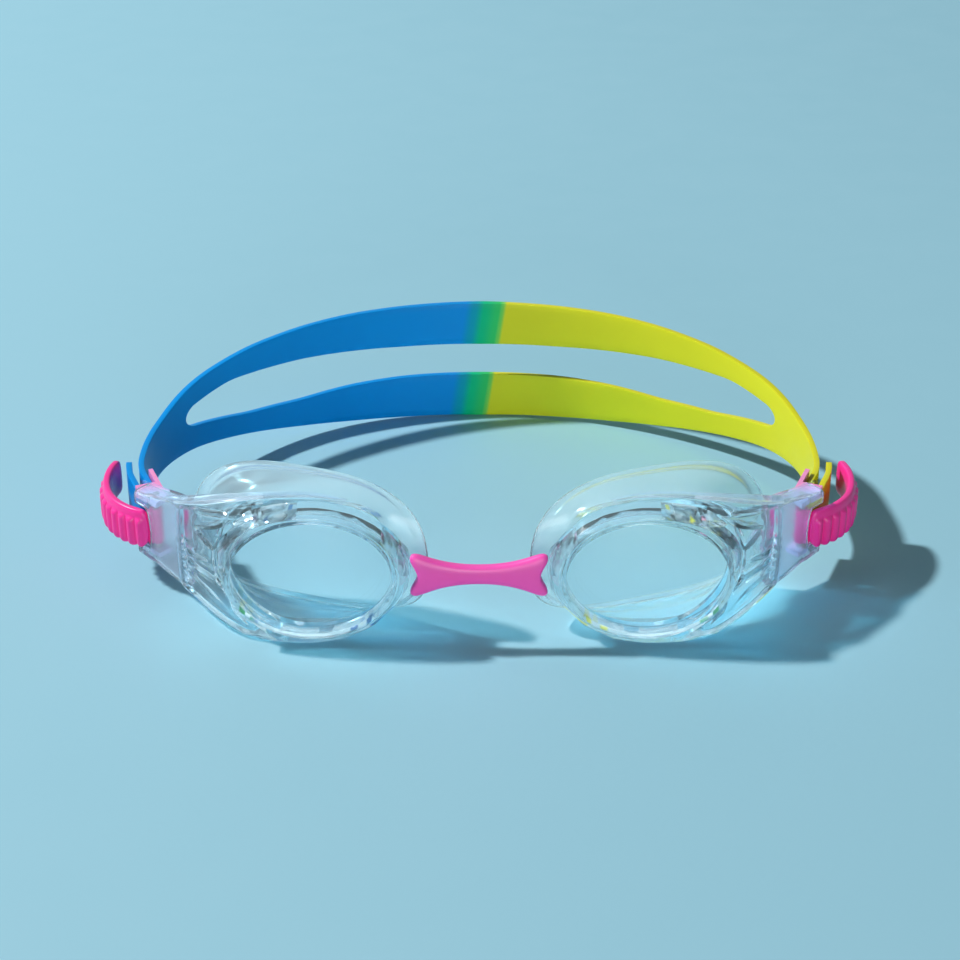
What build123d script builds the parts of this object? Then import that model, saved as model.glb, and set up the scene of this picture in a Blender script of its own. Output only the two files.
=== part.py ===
from build123d import *
import os
from math import cos, radians, sin

# Swim goggles. Millimetres, +Z up, the lenses face -Y, +X is on the right of the front view.
# Every piece is laid out with its front at y = 0 and its base at z = 0, and moved back by
# half the depth when it is written, so the origin is the middle of the base.
# The right half is modelled and the left half is its mirror image.

# Overall sizes
overall_depth = 100.0
base_to_eye_line = 16.0
lens_spacing = 66.6

# Lens and the ring that holds it
lens_half_width = 17.0
lens_half_height = 13.6
lens_dome_radius = 60.0
lens_thickness = 1.6
lens_front_setback = 2.2
lens_ring_width = 0.9
lens_ring_setback = 0.9
lens_fit = 0.05

# Frame
frame_setback = 0.8
ring_wall = 1.4
ring_flare = 0.5
ring_depth = 7.2
bore_step = 0.9
beam_depth = 5.0
flat_front_reach = 35.0
wrap_radius = 28.0
wrap_angle = 45.0
temple_length = 8.6
temple_top = 24.0
temple_bottom = 6.0
temple_tongue_length = 3.6
temple_tongue_thickness = 2.0
temple_tongue_height = 11.0
window_corner = 0.4
# Front outline of the frame: brow and cheek points as (out from the lens middle, up from the eye line)
brow_points = [(-12.0, 11.8), (1.0, 14.2), (14.0, 12.2)]
window_corners = [(12.4, 9.2), (23.0, 4.4), (18.8, -0.4), (17.9, 4.0)]
nose_half_height = 3.8
temple_overrun = 4.0
seam_gap = 0.1

# Gasket
gasket_wall = 1.3
gasket_depth = 9.2
gasket_half_width = 23.8
gasket_half_height = 16.0
face_rake = 15.0
rim_rake = 18.0
gasket_room = 0.3

# Nose bridge
bridge_half_length = 13.5
bridge_thickness = 3.6
bridge_waist = 3.2
bridge_end_height = 9.6
bridge_notch_depth = 2.0
bridge_prong_height = 2.6
bridge_end_radius = 0.8
bridge_edge_radius = 0.6
bridge_tongue_length = 5.0
bridge_tongue_height = 2.0
bridge_tongue_thickness = 1.4

# Strap
strap_thickness = 1.2
strap_half_width = 71.2
strap_front_y = 42.0
strap_turn_angle = 22.0
strap_turn_radius = 18.0
strap_lead = 7.3
strap_tail_angle = 14.0
strap_end_height = 10.4
strap_rear_height = 30.0
strap_centre_height = 15.0
slot_half_length = 62.8
slot_rear_height = 8.0
slot_wide_height = 11.0

# Along each half of the strap, from the middle of the back to its end:
# the share of the way, and how much of the narrowing has happened there
strap_narrowing = [(0.16, 0), (0.42, 0.14), (0.57, 0.25), (0.72, 0.45), (0.86, 0.72), (1, 1)]
# The share of the slot's half length, and the slot's height there
slot_heights = [
    (0, slot_rear_height),
    (0.45, slot_rear_height + 1),
    (0.67, slot_wide_height),
    (0.88, slot_wide_height * 0.86),
    (0.98, slot_wide_height * 0.5),
    (1, 0),
]

# Buckle
bar_radius = 0.7
bar_clearance = 0.05
plate_thickness = 1.0
plate_length = 7.2
plate_gap = 0.25
cheek_thickness = 1.0
cheek_gap = 0.15
pin_radius = 0.7
pin_run_clearance = 0.05
pin_along_temple = 18.7
pin_inside_face = 3.0
hub_radius = 1.35
lever_height = 8.4
lever_base = 10.6
lever_thickness = 1.9
lever_bow_radius = 14.4
lever_bow_start = -72.0
lever_bow_end = 20.0
lever_flare_radius = 5.0
lever_flare_angle = 25.0
rib_count = 8
rib_radius = 0.75
rib_top_margin = 2.0
rib_first_angle = -62.0
rib_pitch_angle = 8.6
lever_side_gap = 0.4

# Wing round the buckle
wing_wall = 1.3
wing_top_front = 24.4
wing_top_rear = 22.4
wing_bottom_front = 5.4
wing_bottom_rear = 7.4
pocket_start = 16.2
pocket_back = 4.9
wing_back = 5.6
lip_reach = 22.3
inner_lip_reach = 7.5
roof_reach = 1.6
window_start = 17.6
mouth_reach = 20.0  # cutting outlines of the pocket's mouth run this far past it
cut_margin = 4.0
cut_overlap = 0.2

# Places worked out from the sizes
lens_x = lens_spacing / 2
dome_reach = lens_dome_radius / 4
eye_z = base_to_eye_line
wrap_centre = Vector(flat_front_reach, frame_setback + wrap_radius)
temple_dir = Vector(cos(radians(wrap_angle)), sin(radians(wrap_angle)))
temple_out = Vector(sin(radians(wrap_angle)), -cos(radians(wrap_angle)))
temple_start = wrap_centre + temple_out * wrap_radius
lane_dir = Vector(sin(radians(strap_turn_angle)), cos(radians(strap_turn_angle)))
lane_out = Vector(cos(radians(strap_turn_angle)), -sin(radians(strap_turn_angle)))
strap_turn_centre = Vector(strap_half_width - strap_turn_radius, strap_front_y)
wrap_line_radius = bar_radius + bar_clearance + strap_thickness / 2
bar_centre = (
    strap_turn_centre
    + lane_out * (strap_turn_radius + wrap_line_radius)
    - lane_dir * strap_lead
)
pin_centre = temple_start + temple_dir * pin_along_temple - temple_out * pin_inside_face
strap_low = strap_centre_height - strap_end_height / 2
strap_high = strap_centre_height + strap_end_height / 2
plate_front = wrap_line_radius + strap_thickness / 2 + plate_gap
plate_back = plate_front + plate_thickness
pocket_low = strap_low - cheek_gap - cheek_thickness
pocket_high = strap_high + cheek_gap + cheek_thickness
lever_arc_centre = pin_centre + Vector(-2.0, 11.7)


def upright(plan_face, z_low, z_high):
    """Raise a plan-view face into a prism between two heights."""
    return extrude(Pos(0, 0, z_low) * plan_face, amount=z_high - z_low, dir=(0, 0, 1))


def front_prism(front_face, y_front, y_rear):
    """Run a front-view face, drawn as x and z, back between two depths."""
    plane = Plane(origin=(0, y_front, 0), x_dir=(1, 0, 0), z_dir=(0, -1, 0))
    return extrude(plane * front_face, amount=y_rear - y_front, dir=(0, 1, 0))


def plan_polygon(points):
    """Close a plan outline through straight-edged corners."""
    corners = [(p.X, p.Y) for p in points]
    return make_face(Polyline(corners, close=True))


def on_temple(along, out):
    """Plan point measured along the temple's outer face and out from it."""
    return temple_start + temple_dir * along + temple_out * out


def on_lane(along, out):
    """Plan point measured from the strap bar, back along the strap and outwards."""
    return bar_centre + lane_dir * along + lane_out * out


def disc(centre, radius, z_low, z_high):
    """Upright round pin or bore."""
    return upright(Pos(centre.X, centre.Y) * Circle(radius), z_low, z_high)


def oval_prism(half_width, half_height, y_front, y_rear):
    """Oval about the lens centre, run straight back."""
    oval = Pos(lens_x, eye_z) * Ellipse(half_width, half_height)
    return front_prism(oval, y_front, y_rear)


def raked_oval(half_width, half_height, y, rake):
    """Oval about the eye line on a plane that slopes back towards the temple."""
    x_dir = (cos(radians(rake)), sin(radians(rake)), 0)
    z_dir = (sin(radians(rake)), -cos(radians(rake)), 0)
    plane = Plane(origin=(lens_x, y, eye_z), x_dir=x_dir, z_dir=z_dir)
    return plane * Ellipse(half_width, half_height)


def dome(radius):
    """Ball whose front touches the given lens surface."""
    centre_y = lens_front_setback + lens_dome_radius
    return Pos(lens_x, centre_y, eye_z) * Sphere(radius)


def make_lens():
    """Domed oval window."""
    blank = oval_prism(lens_half_width, lens_half_height, 0, dome_reach)
    return (blank & dome(lens_dome_radius)) - dome(lens_dome_radius - lens_thickness)


def make_lens_ring():
    """Oval ring in front of the lens, with its back on the lens."""
    outer = oval_prism(lens_half_width, lens_half_height, lens_ring_setback, dome_reach)
    inner = oval_prism(
        lens_half_width - lens_ring_width,
        lens_half_height - lens_ring_width,
        lens_ring_setback - 1,
        dome_reach + 1,
    )
    return outer - inner - dome(lens_dome_radius)


def front_band(depth, end_along):
    """Plan outline between the wrapped front face and a parallel face behind it."""
    rear_radius = wrap_radius - depth
    front_y = frame_setback
    rear_y = frame_setback + depth
    temple_front = on_temple(end_along, 0)
    temple_rear = on_temple(end_along, -depth)
    bend_rear = on_temple(0, -depth)
    outline = Line((0, front_y), (flat_front_reach, front_y))
    outline += CenterArc(wrap_centre, wrap_radius, -90, wrap_angle)
    outline += Line(temple_start, temple_front)
    outline += Line(temple_front, temple_rear)
    outline += Line(temple_rear, bend_rear)
    outline += CenterArc(wrap_centre, rear_radius, -90, wrap_angle)
    outline += Line((flat_front_reach, rear_y), (0, rear_y))
    outline += Line((0, rear_y), (0, front_y))
    return make_face(outline)


def frame_front_outline():
    """Front view of the frame: brow beam on top, cheek line below, blunt nose end."""
    nose_x = lens_x - lens_half_width - 4.6
    temple_x = on_temple(temple_length, 0).X + temple_overrun
    brow_line = [(lens_x + out, eye_z + up) for out, up in brow_points]
    brow = Spline((nose_x, eye_z + nose_half_height), *brow_line, (temple_x, temple_top - 0.6))
    cheek = Spline(
        (temple_x, temple_bottom + 0.8),
        (lens_x + 21, temple_bottom - 2.4),
        (lens_x + 10, 1.2),
        (lens_x, eye_z - lens_half_height - ring_wall),
        (lens_x - 12, 3.2),
        (nose_x, eye_z - nose_half_height),
    )
    outline = brow + Line(brow @ 1, cheek @ 0) + cheek + Line(cheek @ 1, brow @ 0)
    return make_face(outline)


def brow_window_outline():
    """Three-cornered opening between the brow beam, the lens ring and the temple."""
    corners = [(lens_x + out, eye_z + up) for out, up in window_corners]
    window = make_face(Polyline(corners, close=True))
    return fillet(window.vertices(), radius=window_corner)


def bridge_face(grow):
    """Front view of the bridge, grown all round: a waisted bar with a notch in each end."""
    half_end = bridge_end_height / 2 + grow
    half_waist = bridge_waist / 2 + grow
    inner_end = bridge_end_height / 2 - bridge_prong_height - grow
    x_end = bridge_half_length + grow
    x_notch = bridge_half_length - bridge_notch_depth + grow
    outline = Spline((-x_end, half_end), (0, half_waist), (x_end, half_end))
    outline += Spline((-x_end, -half_end), (0, -half_waist), (x_end, -half_end))
    for side in (1, -1):
        notch = [(side * x_end, inner_end), (side * x_notch, 0), (side * x_end, -inner_end)]
        outline += ThreePointArc(*notch)
        outline += Line((side * x_end, half_end), (side * x_end, inner_end))
        outline += Line((side * x_end, -half_end), (side * x_end, -inner_end))
    return Pos(0, eye_z) * make_face(outline)


def bridge_tongue(grow):
    """Flat tongue of the frame that plugs into the end of the bridge."""
    x_root = bridge_half_length
    x_tip = bridge_half_length - bridge_notch_depth - bridge_tongue_length - grow
    length = x_root - x_tip
    height = bridge_tongue_height + 2 * grow
    thickness = bridge_tongue_thickness + 2 * grow
    return Pos((x_root + x_tip) / 2, bridge_thickness / 2, eye_z) * Box(length, thickness, height)


def make_bridge():
    """Soft waisted bridge, rounded all round, with a socket for each frame tongue."""
    outline = bridge_face(0)
    outline = fillet(outline.vertices(), radius=bridge_end_radius)
    bar = front_prism(outline, 0, bridge_thickness)
    long_edges = bar.edges().filter_by(GeomType.LINE, reverse=True)
    soft = fillet(long_edges, radius=bridge_edge_radius)
    socket = bridge_tongue(seam_gap)
    return soft - socket - mirror(socket, about=Plane.YZ)


def temple_tongue(grow):
    """Flat tongue at the temple end of the frame, held inside the soft wing."""
    mid = beam_depth / 2
    half = temple_tongue_thickness / 2 + grow
    start = temple_length - 1 if not grow else temple_length - 2
    reach = temple_length + temple_tongue_length + grow
    corners = [
        on_temple(start, -mid + half),
        on_temple(reach, -mid + half),
        on_temple(reach, -mid - half),
        on_temple(start, -mid - half),
    ]
    z_mid = (temple_top + temple_bottom) / 2
    z_half = temple_tongue_height / 2 + grow
    return upright(plan_polygon(corners), z_mid - z_half, z_mid + z_half)


def make_frame():
    """Clear hard frame: a raked cup ring round the lens, the brow beam and the temple web."""
    ring_front = raked_oval(
        lens_half_width + ring_wall, lens_half_height + ring_wall, frame_setback, 0
    )
    ring_rear = raked_oval(
        lens_half_width + ring_wall + ring_flare,
        lens_half_height + ring_wall + ring_flare / 2,
        frame_setback + ring_depth,
        face_rake,
    )
    ring = loft([ring_front, ring_rear])
    body = front_prism(frame_front_outline(), 0, overall_depth / 2)
    body &= upright(front_band(beam_depth, temple_length), 0, base_to_eye_line * 2)
    window = front_prism(brow_window_outline(), -1, overall_depth / 2)
    solid = (body - window - gasket_cone(-gasket_room, seam_gap)) + ring
    seat = oval_prism(
        lens_half_width + lens_fit, lens_half_height + lens_fit, -1, dome_reach
    )
    solid -= seat - dome(lens_dome_radius - lens_thickness)
    solid -= oval_prism(
        lens_half_width - bore_step,
        lens_half_height - bore_step,
        -1,
        overall_depth / 2,
    )
    solid -= front_prism(bridge_face(seam_gap), -1, bridge_thickness + seam_gap)
    return solid + bridge_tongue(0) + temple_tongue(0)


def gasket_cone(inset, overrun):
    """Flared oval cone from the frame's rear edge to the face, shrunk by an inset."""
    seam_y = frame_setback + ring_depth + seam_gap
    root_width = lens_half_width + ring_wall + ring_flare - inset
    root_height = lens_half_height + ring_wall + ring_flare / 2 - inset
    rim_width = gasket_half_width - inset
    rim_height = gasket_half_height - inset
    root = raked_oval(root_width, root_height, seam_y - overrun, face_rake)
    rim = raked_oval(rim_width, rim_height, seam_y + gasket_depth, rim_rake)
    return loft([root, rim])


def make_gasket():
    """Soft silicone skirt: a raked tube behind the frame that flares to the face seal."""
    return gasket_cone(0, 0) - gasket_cone(gasket_wall, 0)


def wing_outline():
    """Plan outline of the wing: outer lip, mouth and the longer inner lip."""
    return plan_polygon(
        [
            on_temple(temple_length + seam_gap, 0),
            on_temple(lip_reach, 0),
            on_lane(roof_reach, wrap_line_radius + bar_radius),
            on_lane(inner_lip_reach, -plate_back),
            on_lane(inner_lip_reach, -plate_back - wing_wall),
            on_lane(0, -plate_back - wing_wall),
            on_temple(temple_length + seam_gap, -wing_back),
        ]
    )


def pocket_outline(shrink, reach):
    """Plan outline of the room inside the wing, from the root wall out to the mouth."""
    lip_inside = -wing_wall - shrink
    return plan_polygon(
        [
            on_temple(pocket_start + shrink, lip_inside),
            on_temple(lip_reach + 3, lip_inside),
            on_lane(roof_reach, wrap_line_radius + cut_margin),
            on_lane(reach, wrap_line_radius + cut_margin),
            on_lane(reach, -plate_back + shrink),
            on_lane(-2.6, -plate_back + shrink),
            on_temple(pocket_start + shrink, -pocket_back + shrink),
        ]
    )


def make_wing():
    """Soft forked wing moulded over the temple, open at the rear for the strap."""
    x_front = on_temple(0, 0).X
    x_pocket = on_temple(pocket_start, 0).X
    x_rear = on_lane(inner_lip_reach, wrap_line_radius).X
    side_view = make_face(
        Polyline(
            (x_front, wing_bottom_front),
            (x_pocket, wing_bottom_front),
            (x_rear, wing_bottom_rear),
            (x_rear, wing_top_rear),
            (x_pocket, wing_top_front),
            (x_front, wing_top_front),
            close=True,
        )
    )
    body = upright(wing_outline(), 0, base_to_eye_line * 2)
    body &= front_prism(side_view, 0, overall_depth)
    body -= upright(pocket_outline(0, mouth_reach), pocket_low - seam_gap, pocket_high + seam_gap)
    mouth = plan_polygon(
        [
            on_lane(roof_reach, mouth_reach),
            on_lane(mouth_reach, mouth_reach),
            on_lane(mouth_reach, -plate_back),
            on_lane(roof_reach, -plate_back),
        ]
    )
    body -= upright(mouth, 0, base_to_eye_line * 2)
    notch = plan_polygon(
        [
            on_temple(window_start, -wing_wall - cut_overlap),
            on_temple(window_start, cut_margin),
            on_temple(lip_reach + 2 * cut_margin, cut_margin),
            on_temple(lip_reach + 2 * cut_margin, -wing_wall - cut_overlap),
        ]
    )
    notch_low = lever_base - lever_side_gap
    notch_high = lever_base + lever_height + lever_side_gap
    body -= upright(notch, notch_low, notch_high)
    return body - temple_tongue(seam_gap)


def make_buckle_body():
    """Hard insert in the wing: two cheeks joined by the plate that backs the strap."""
    outline = pocket_outline(seam_gap, mouth_reach)
    edge = plan_polygon(
        [
            on_temple(pocket_start, -wing_wall),
            on_temple(lip_reach, -wing_wall),
            on_lane(roof_reach, wrap_line_radius + bar_radius),
            on_lane(roof_reach, -plate_back),
            on_lane(-3, -plate_back),
            on_temple(pocket_start, -pocket_back),
        ]
    )
    cheek = outline & edge
    body = upright(cheek, pocket_low, pocket_low + cheek_thickness)
    body += upright(cheek, pocket_high - cheek_thickness, pocket_high)
    plate = plan_polygon(
        [
            on_lane(-2.0, -plate_front),
            on_lane(plate_length, -plate_front),
            on_lane(plate_length, -plate_back + seam_gap),
            on_lane(-2.0, -plate_back + seam_gap),
        ]
    )
    body += upright(plate, pocket_low, pocket_high)
    body -= disc(pin_centre, pin_radius, 0, base_to_eye_line * 2)
    return body - disc(bar_centre, bar_radius, 0, base_to_eye_line * 2)


def arc_band(centre, radius, thickness, start, sweep):
    """Plan view of a bent strip: part of a ring of the given thickness."""
    outer = CenterArc(centre, radius + thickness / 2, start, sweep)
    inner = CenterArc(centre, radius - thickness / 2, start, sweep)
    return make_face(outer + inner + Line(outer @ 0, inner @ 0) + Line(outer @ 1, inner @ 1))


def make_lever():
    """Ribbed squeeze lever: a hub on the pin, a bowed tab and a flared finger tip."""
    middle = lever_bow_radius - lever_thickness / 2
    bow_sweep = lever_bow_end - lever_bow_start
    plan = arc_band(lever_arc_centre, middle, lever_thickness, lever_bow_start, bow_sweep)
    start_dir = Vector(cos(radians(lever_bow_start)), sin(radians(lever_bow_start)))
    end_dir = Vector(cos(radians(lever_bow_end)), sin(radians(lever_bow_end)))
    bow_start = lever_arc_centre + start_dir * middle
    flare_centre = lever_arc_centre + end_dir * (lever_bow_radius + lever_flare_radius)
    flare_middle = lever_flare_radius + lever_thickness / 2
    flare_start = 180 + lever_bow_end
    plan += arc_band(
        flare_centre, flare_middle, lever_thickness, flare_start, -lever_flare_angle
    )
    flare_end = radians(flare_start - lever_flare_angle)
    tip = flare_centre + Vector(cos(flare_end), sin(flare_end)) * flare_middle
    plan += Pos(tip.X, tip.Y) * Circle(lever_thickness / 2)
    plan += Pos(bow_start.X, bow_start.Y) * Circle(lever_thickness / 2)
    plan += Pos(pin_centre.X, pin_centre.Y) * Circle(hub_radius)
    arm = bow_start - pin_centre
    side = Vector(-arm.Y, arm.X).normalized() * (lever_thickness / 2)
    plan += plan_polygon(
        [pin_centre + side, bow_start + side, bow_start - side, pin_centre - side]
    )
    lever_top = lever_base + lever_height
    body = upright(plan, lever_base, lever_top)
    for index in range(rib_count):
        angle = radians(rib_first_angle + index * rib_pitch_angle)
        rib_centre = lever_arc_centre + Vector(cos(angle), sin(angle)) * lever_bow_radius
        body += disc(rib_centre, rib_radius, lever_base, lever_top - rib_top_margin)
    return body - disc(pin_centre, pin_radius + pin_run_clearance, 0, base_to_eye_line * 2)


def strap_lane(sign):
    """Plan view of one strap end: round the bar and back out as a short tail."""
    thick = strap_thickness
    turn = strap_turn_angle
    main_line = -wrap_line_radius
    half = thick / 2
    lane_end = strap_lead
    main = plan_polygon(
        [
            on_lane(0, main_line - half),
            on_lane(lane_end, main_line - half),
            on_lane(lane_end, main_line + half),
            on_lane(0, main_line + half),
        ]
    )
    tail = plan_polygon(
        [
            on_lane(0, wrap_line_radius - half),
            on_lane(lane_end, wrap_line_radius - half),
            on_lane(lane_end, wrap_line_radius + half),
            on_lane(0, wrap_line_radius + half),
        ]
    )
    tail_radius = strap_turn_radius + 2 * wrap_line_radius
    tail_sweep = turn - strap_tail_angle
    plan = main + tail
    plan += arc_band(strap_turn_centre, strap_turn_radius, thick, -turn, turn)
    plan += arc_band(strap_turn_centre, tail_radius, thick, -turn, tail_sweep)
    plan += arc_band(bar_centre, wrap_line_radius, thick, -turn, -180)
    return plan if sign > 0 else mirror(plan, about=Plane.YZ)


def mirrored_edge(points):
    """Straight middle from the first point to its mirror image, with a smooth curve each side."""
    edge = Line((-points[0][0], points[0][1]), points[0])
    for side in (1, -1):
        curve = [(side * x, z) for x, z in points]
        edge += Spline(*curve, tangents=[(side, 0), (side, 0)])
    return edge


def strap_side_outline():
    """Front view of the strap: one band at each end that widens round the back."""
    end_x = strap_half_width + strap_thickness
    outline = Curve()
    for side in (1, -1):
        rear = side * strap_rear_height / 2
        narrowing = side * (strap_rear_height - strap_end_height) / 2
        points = [
            (share * end_x, strap_centre_height + rear - narrowing * narrowed)
            for share, narrowed in strap_narrowing
        ]
        outline += mirrored_edge(points)
        outline += Line((side * end_x, strap_low), (side * end_x, strap_high))
    return make_face(outline)


def strap_slot_outline():
    """Front view of the long slot between the two bands, widest just inside its ends."""
    outline = Curve()
    for side in (1, -1):
        points = [
            (share * slot_half_length, strap_centre_height + side * height / 2)
            for share, height in slot_heights
        ]
        mirrored = [(-x, z) for x, z in reversed(points)]
        outline += Spline(*mirrored, *points[1:])
    return make_face(outline)


def make_strap():
    """One-piece silicone strap: split rear band with each end wrapped round its bar."""
    rear_reach = overall_depth - strap_front_y
    half = strap_thickness / 2
    outer = Ellipse(strap_half_width + half, rear_reach)
    inner = Ellipse(strap_half_width - half, rear_reach - strap_thickness)
    loop = Pos(0, strap_front_y) * (outer - inner)
    keep_rear = Pos(0, strap_front_y + rear_reach) * Rectangle(4 * strap_half_width, 2 * rear_reach)
    body = upright(loop & keep_rear, 0, strap_rear_height)
    body &= front_prism(strap_side_outline(), strap_front_y - 1, overall_depth + 1)
    body -= front_prism(strap_slot_outline(), strap_front_y - 1, overall_depth + 1)
    for sign in (1, -1):
        body += upright(strap_lane(sign), strap_low, strap_high)
    return body


def make_pin():
    """Hinge pin of the lever, fixed in the buckle's cheeks."""
    return disc(pin_centre, pin_radius, pocket_low, pocket_high)


def make_bar():
    """Round bar that the strap end wraps."""
    return disc(bar_centre, bar_radius, pocket_low, pocket_high)


side_pieces = {
    "lens": make_lens,
    "lens_ring": make_lens_ring,
    "frame": make_frame,
    "gasket": make_gasket,
    "temple_wing": make_wing,
    "buckle_body": make_buckle_body,
    "buckle_lever": make_lever,
    "lever_pin": make_pin,
    "strap_bar": make_bar,
}
centre_pieces = {"nose_bridge": make_bridge, "strap": make_strap}
to_origin = Pos(0, -overall_depth / 2, 0)

os.makedirs("parts", exist_ok=True)
for name, make in side_pieces.items():
    right = to_origin * make()
    export_step(right, f"parts/right_{name}.step")
    export_step(mirror(right, about=Plane.YZ), f"parts/left_{name}.step")
for name, make in centre_pieces.items():
    export_step(to_origin * make(), f"parts/{name}.step")
print("lever pin at", pin_centre + Vector(0, -overall_depth / 2))
print("strap bar at", bar_centre + Vector(0, -overall_depth / 2))
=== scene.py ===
import math

import bmesh
import bpy
import numpy as np
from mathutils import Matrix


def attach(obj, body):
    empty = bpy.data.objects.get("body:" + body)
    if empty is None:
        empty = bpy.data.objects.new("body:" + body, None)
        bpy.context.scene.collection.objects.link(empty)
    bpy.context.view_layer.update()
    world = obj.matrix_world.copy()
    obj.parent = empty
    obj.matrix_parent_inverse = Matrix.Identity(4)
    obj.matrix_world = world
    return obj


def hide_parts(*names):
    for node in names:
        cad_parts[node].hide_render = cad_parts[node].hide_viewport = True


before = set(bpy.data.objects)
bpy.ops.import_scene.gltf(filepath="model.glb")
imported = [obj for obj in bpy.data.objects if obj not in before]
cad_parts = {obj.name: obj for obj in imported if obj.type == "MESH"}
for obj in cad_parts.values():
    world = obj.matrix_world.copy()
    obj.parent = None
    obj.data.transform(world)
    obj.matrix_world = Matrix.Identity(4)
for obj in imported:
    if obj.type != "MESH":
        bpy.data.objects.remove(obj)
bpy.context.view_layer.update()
bpy.context.scene.view_settings.view_transform = "Standard"
print("frame loaded,", len(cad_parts), "nodes")

# Shapes below are worked out in millimetres, with y = 0 at the front of the goggles.
depthToMiddle = 50.0  # from the front of the goggles to the middle of the shared frame
eyeLine = 16.0  # height of the middle of the lenses


def toFrame(points):
    # takes millimetres measured from the front edge to metres in the shared frame
    shifted = np.array(points, dtype=float)
    shifted[..., 1] -= depthToMiddle
    return shifted * 0.001


def mirrored(points):
    # the same points on the other side of the nose
    flipped = np.array(points, dtype=float)
    flipped[..., 0] *= -1.0
    return flipped


def smoothStep(t):
    # 0 below 0, 1 above 1 and an S curve between: 3t^2 - 2t^3
    t = np.clip(t, 0.0, 1.0)
    return t * t * (3.0 - 2.0 * t)


def smoothThrough(at, places, values, spread):
    # straight lines between the given values, then a running bell-shaped mean of width spread
    plain = np.interp(at, places, values)
    total = np.zeros_like(plain)
    weight = 0.0
    for k in np.linspace(-2.0, 2.0, 9):
        w = math.exp(-0.5 * k * k)
        total = total + w * np.interp(at + k * spread, places, values)
        weight += w
    return total / weight if spread > 0 else plain


def gridFaces(rows, columns, closeRows, closeColumns):
    # quads between neighbours of a grid, numbered row by row
    i = np.arange(rows if closeRows else rows - 1)
    j = np.arange(columns if closeColumns else columns - 1)
    a, b = np.meshgrid(i, j, indexing="ij")
    nextRow = (a + 1) % rows
    nextColumn = (b + 1) % columns
    corners = [
        a * columns + b, a * columns + nextColumn,
        nextRow * columns + nextColumn, nextRow * columns + b,
    ]
    return np.stack(corners, axis=-1).reshape(-1, 4)


def surfacePiece(name, grids, material, closeRows=False, closeColumns=False,
                 mergeBelow=1e-6, sharpAngle=50.0):
    # one object from one or more grids of points, given as arrays of rows x columns x 3 in millimetres
    points = []
    faces = []
    start = 0
    for grid in grids:
        placed = toFrame(grid)
        rows, columns = placed.shape[:2]
        points.append(placed.reshape(-1, 3))
        faces.append(gridFaces(rows, columns, closeRows, closeColumns) + start)
        start += rows * columns
    mesh = bpy.data.meshes.new(name)
    mesh.from_pydata(np.concatenate(points).tolist(), [], np.concatenate(faces).tolist())
    shape = bmesh.new()
    shape.from_mesh(mesh)
    bmesh.ops.remove_doubles(shape, verts=shape.verts, dist=mergeBelow)
    bmesh.ops.dissolve_degenerate(shape, edges=shape.edges, dist=1e-7)
    bmesh.ops.recalc_face_normals(shape, faces=shape.faces)
    shape.to_mesh(mesh)
    shape.free()
    mesh.update()
    piece = bpy.data.objects.new(name, mesh)
    bpy.context.scene.collection.objects.link(piece)
    piece.data.materials.append(material)
    mesh.shade_smooth()
    mesh.set_sharp_from_angle(angle=math.radians(sharpAngle))
    return piece


def standsFor(piece, nodes, body):
    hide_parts(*nodes)
    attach(piece, body)


def newGroup(name, inputs, outputs):
    group = bpy.data.node_groups.new(name, "ShaderNodeTree")
    for label, kind, value in inputs:
        socket = group.interface.new_socket(name=label, in_out="INPUT", socket_type=kind)
        socket.default_value = value
    for label, kind in outputs:
        group.interface.new_socket(name=label, in_out="OUTPUT", socket_type=kind)
    return group, group.nodes.new("NodeGroupInput"), group.nodes.new("NodeGroupOutput")


def buildMouldSkin():
    # faint unevenness of a moulded surface: roughness that drifts, and a height for bumps
    group, given, result = newGroup(
        "mouldSkin",
        [
            ("Scale", "NodeSocketFloat", 900.0),
            ("Smooth", "NodeSocketFloat", 0.2),
            ("Dull", "NodeSocketFloat", 0.4),
        ],
        [("Roughness", "NodeSocketFloat"), ("Height", "NodeSocketFloat")],
    )
    nodes, links = group.nodes, group.links
    coords = nodes.new("ShaderNodeTexCoord")
    fine = nodes.new("ShaderNodeTexNoise")
    fine.inputs["Detail"].default_value = 3.0
    broad = nodes.new("ShaderNodeTexNoise")
    broad.inputs["Scale"].default_value = 60.0
    broad.inputs["Detail"].default_value = 2.0
    spread = nodes.new("ShaderNodeMapRange")
    spread.inputs["From Min"].default_value = 0.35
    spread.inputs["From Max"].default_value = 0.65
    links.new(coords.outputs["Object"], fine.inputs["Vector"])
    links.new(coords.outputs["Object"], broad.inputs["Vector"])
    links.new(given.outputs["Scale"], fine.inputs["Scale"])
    links.new(broad.outputs["Fac"], spread.inputs["Value"])
    links.new(given.outputs["Smooth"], spread.inputs["To Min"])
    links.new(given.outputs["Dull"], spread.inputs["To Max"])
    links.new(spread.outputs["Result"], result.inputs["Roughness"])
    links.new(fine.outputs["Fac"], result.inputs["Height"])
    return group


def buildCloud():
    # two colours mixed by soft blotches, as in silicone that took its pigment a little unevenly
    group, given, result = newGroup(
        "pigmentCloud",
        [
            ("Scale", "NodeSocketFloat", 120.0),
            ("First", "NodeSocketColor", (1, 1, 1, 1)),
            ("Second", "NodeSocketColor", (1, 1, 1, 1)),
        ],
        [("Color", "NodeSocketColor")],
    )
    nodes, links = group.nodes, group.links
    coords = nodes.new("ShaderNodeTexCoord")
    noise = nodes.new("ShaderNodeTexNoise")
    noise.inputs["Detail"].default_value = 4.0
    mix = nodes.new("ShaderNodeMix")
    mix.data_type = "RGBA"
    links.new(coords.outputs["Object"], noise.inputs["Vector"])
    links.new(given.outputs["Scale"], noise.inputs["Scale"])
    links.new(noise.outputs["Fac"], mix.inputs["Factor"])
    links.new(given.outputs["First"], mix.inputs["A"])
    links.new(given.outputs["Second"], mix.inputs["B"])
    links.new(mix.outputs["Result"], result.inputs["Color"])
    return group


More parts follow.
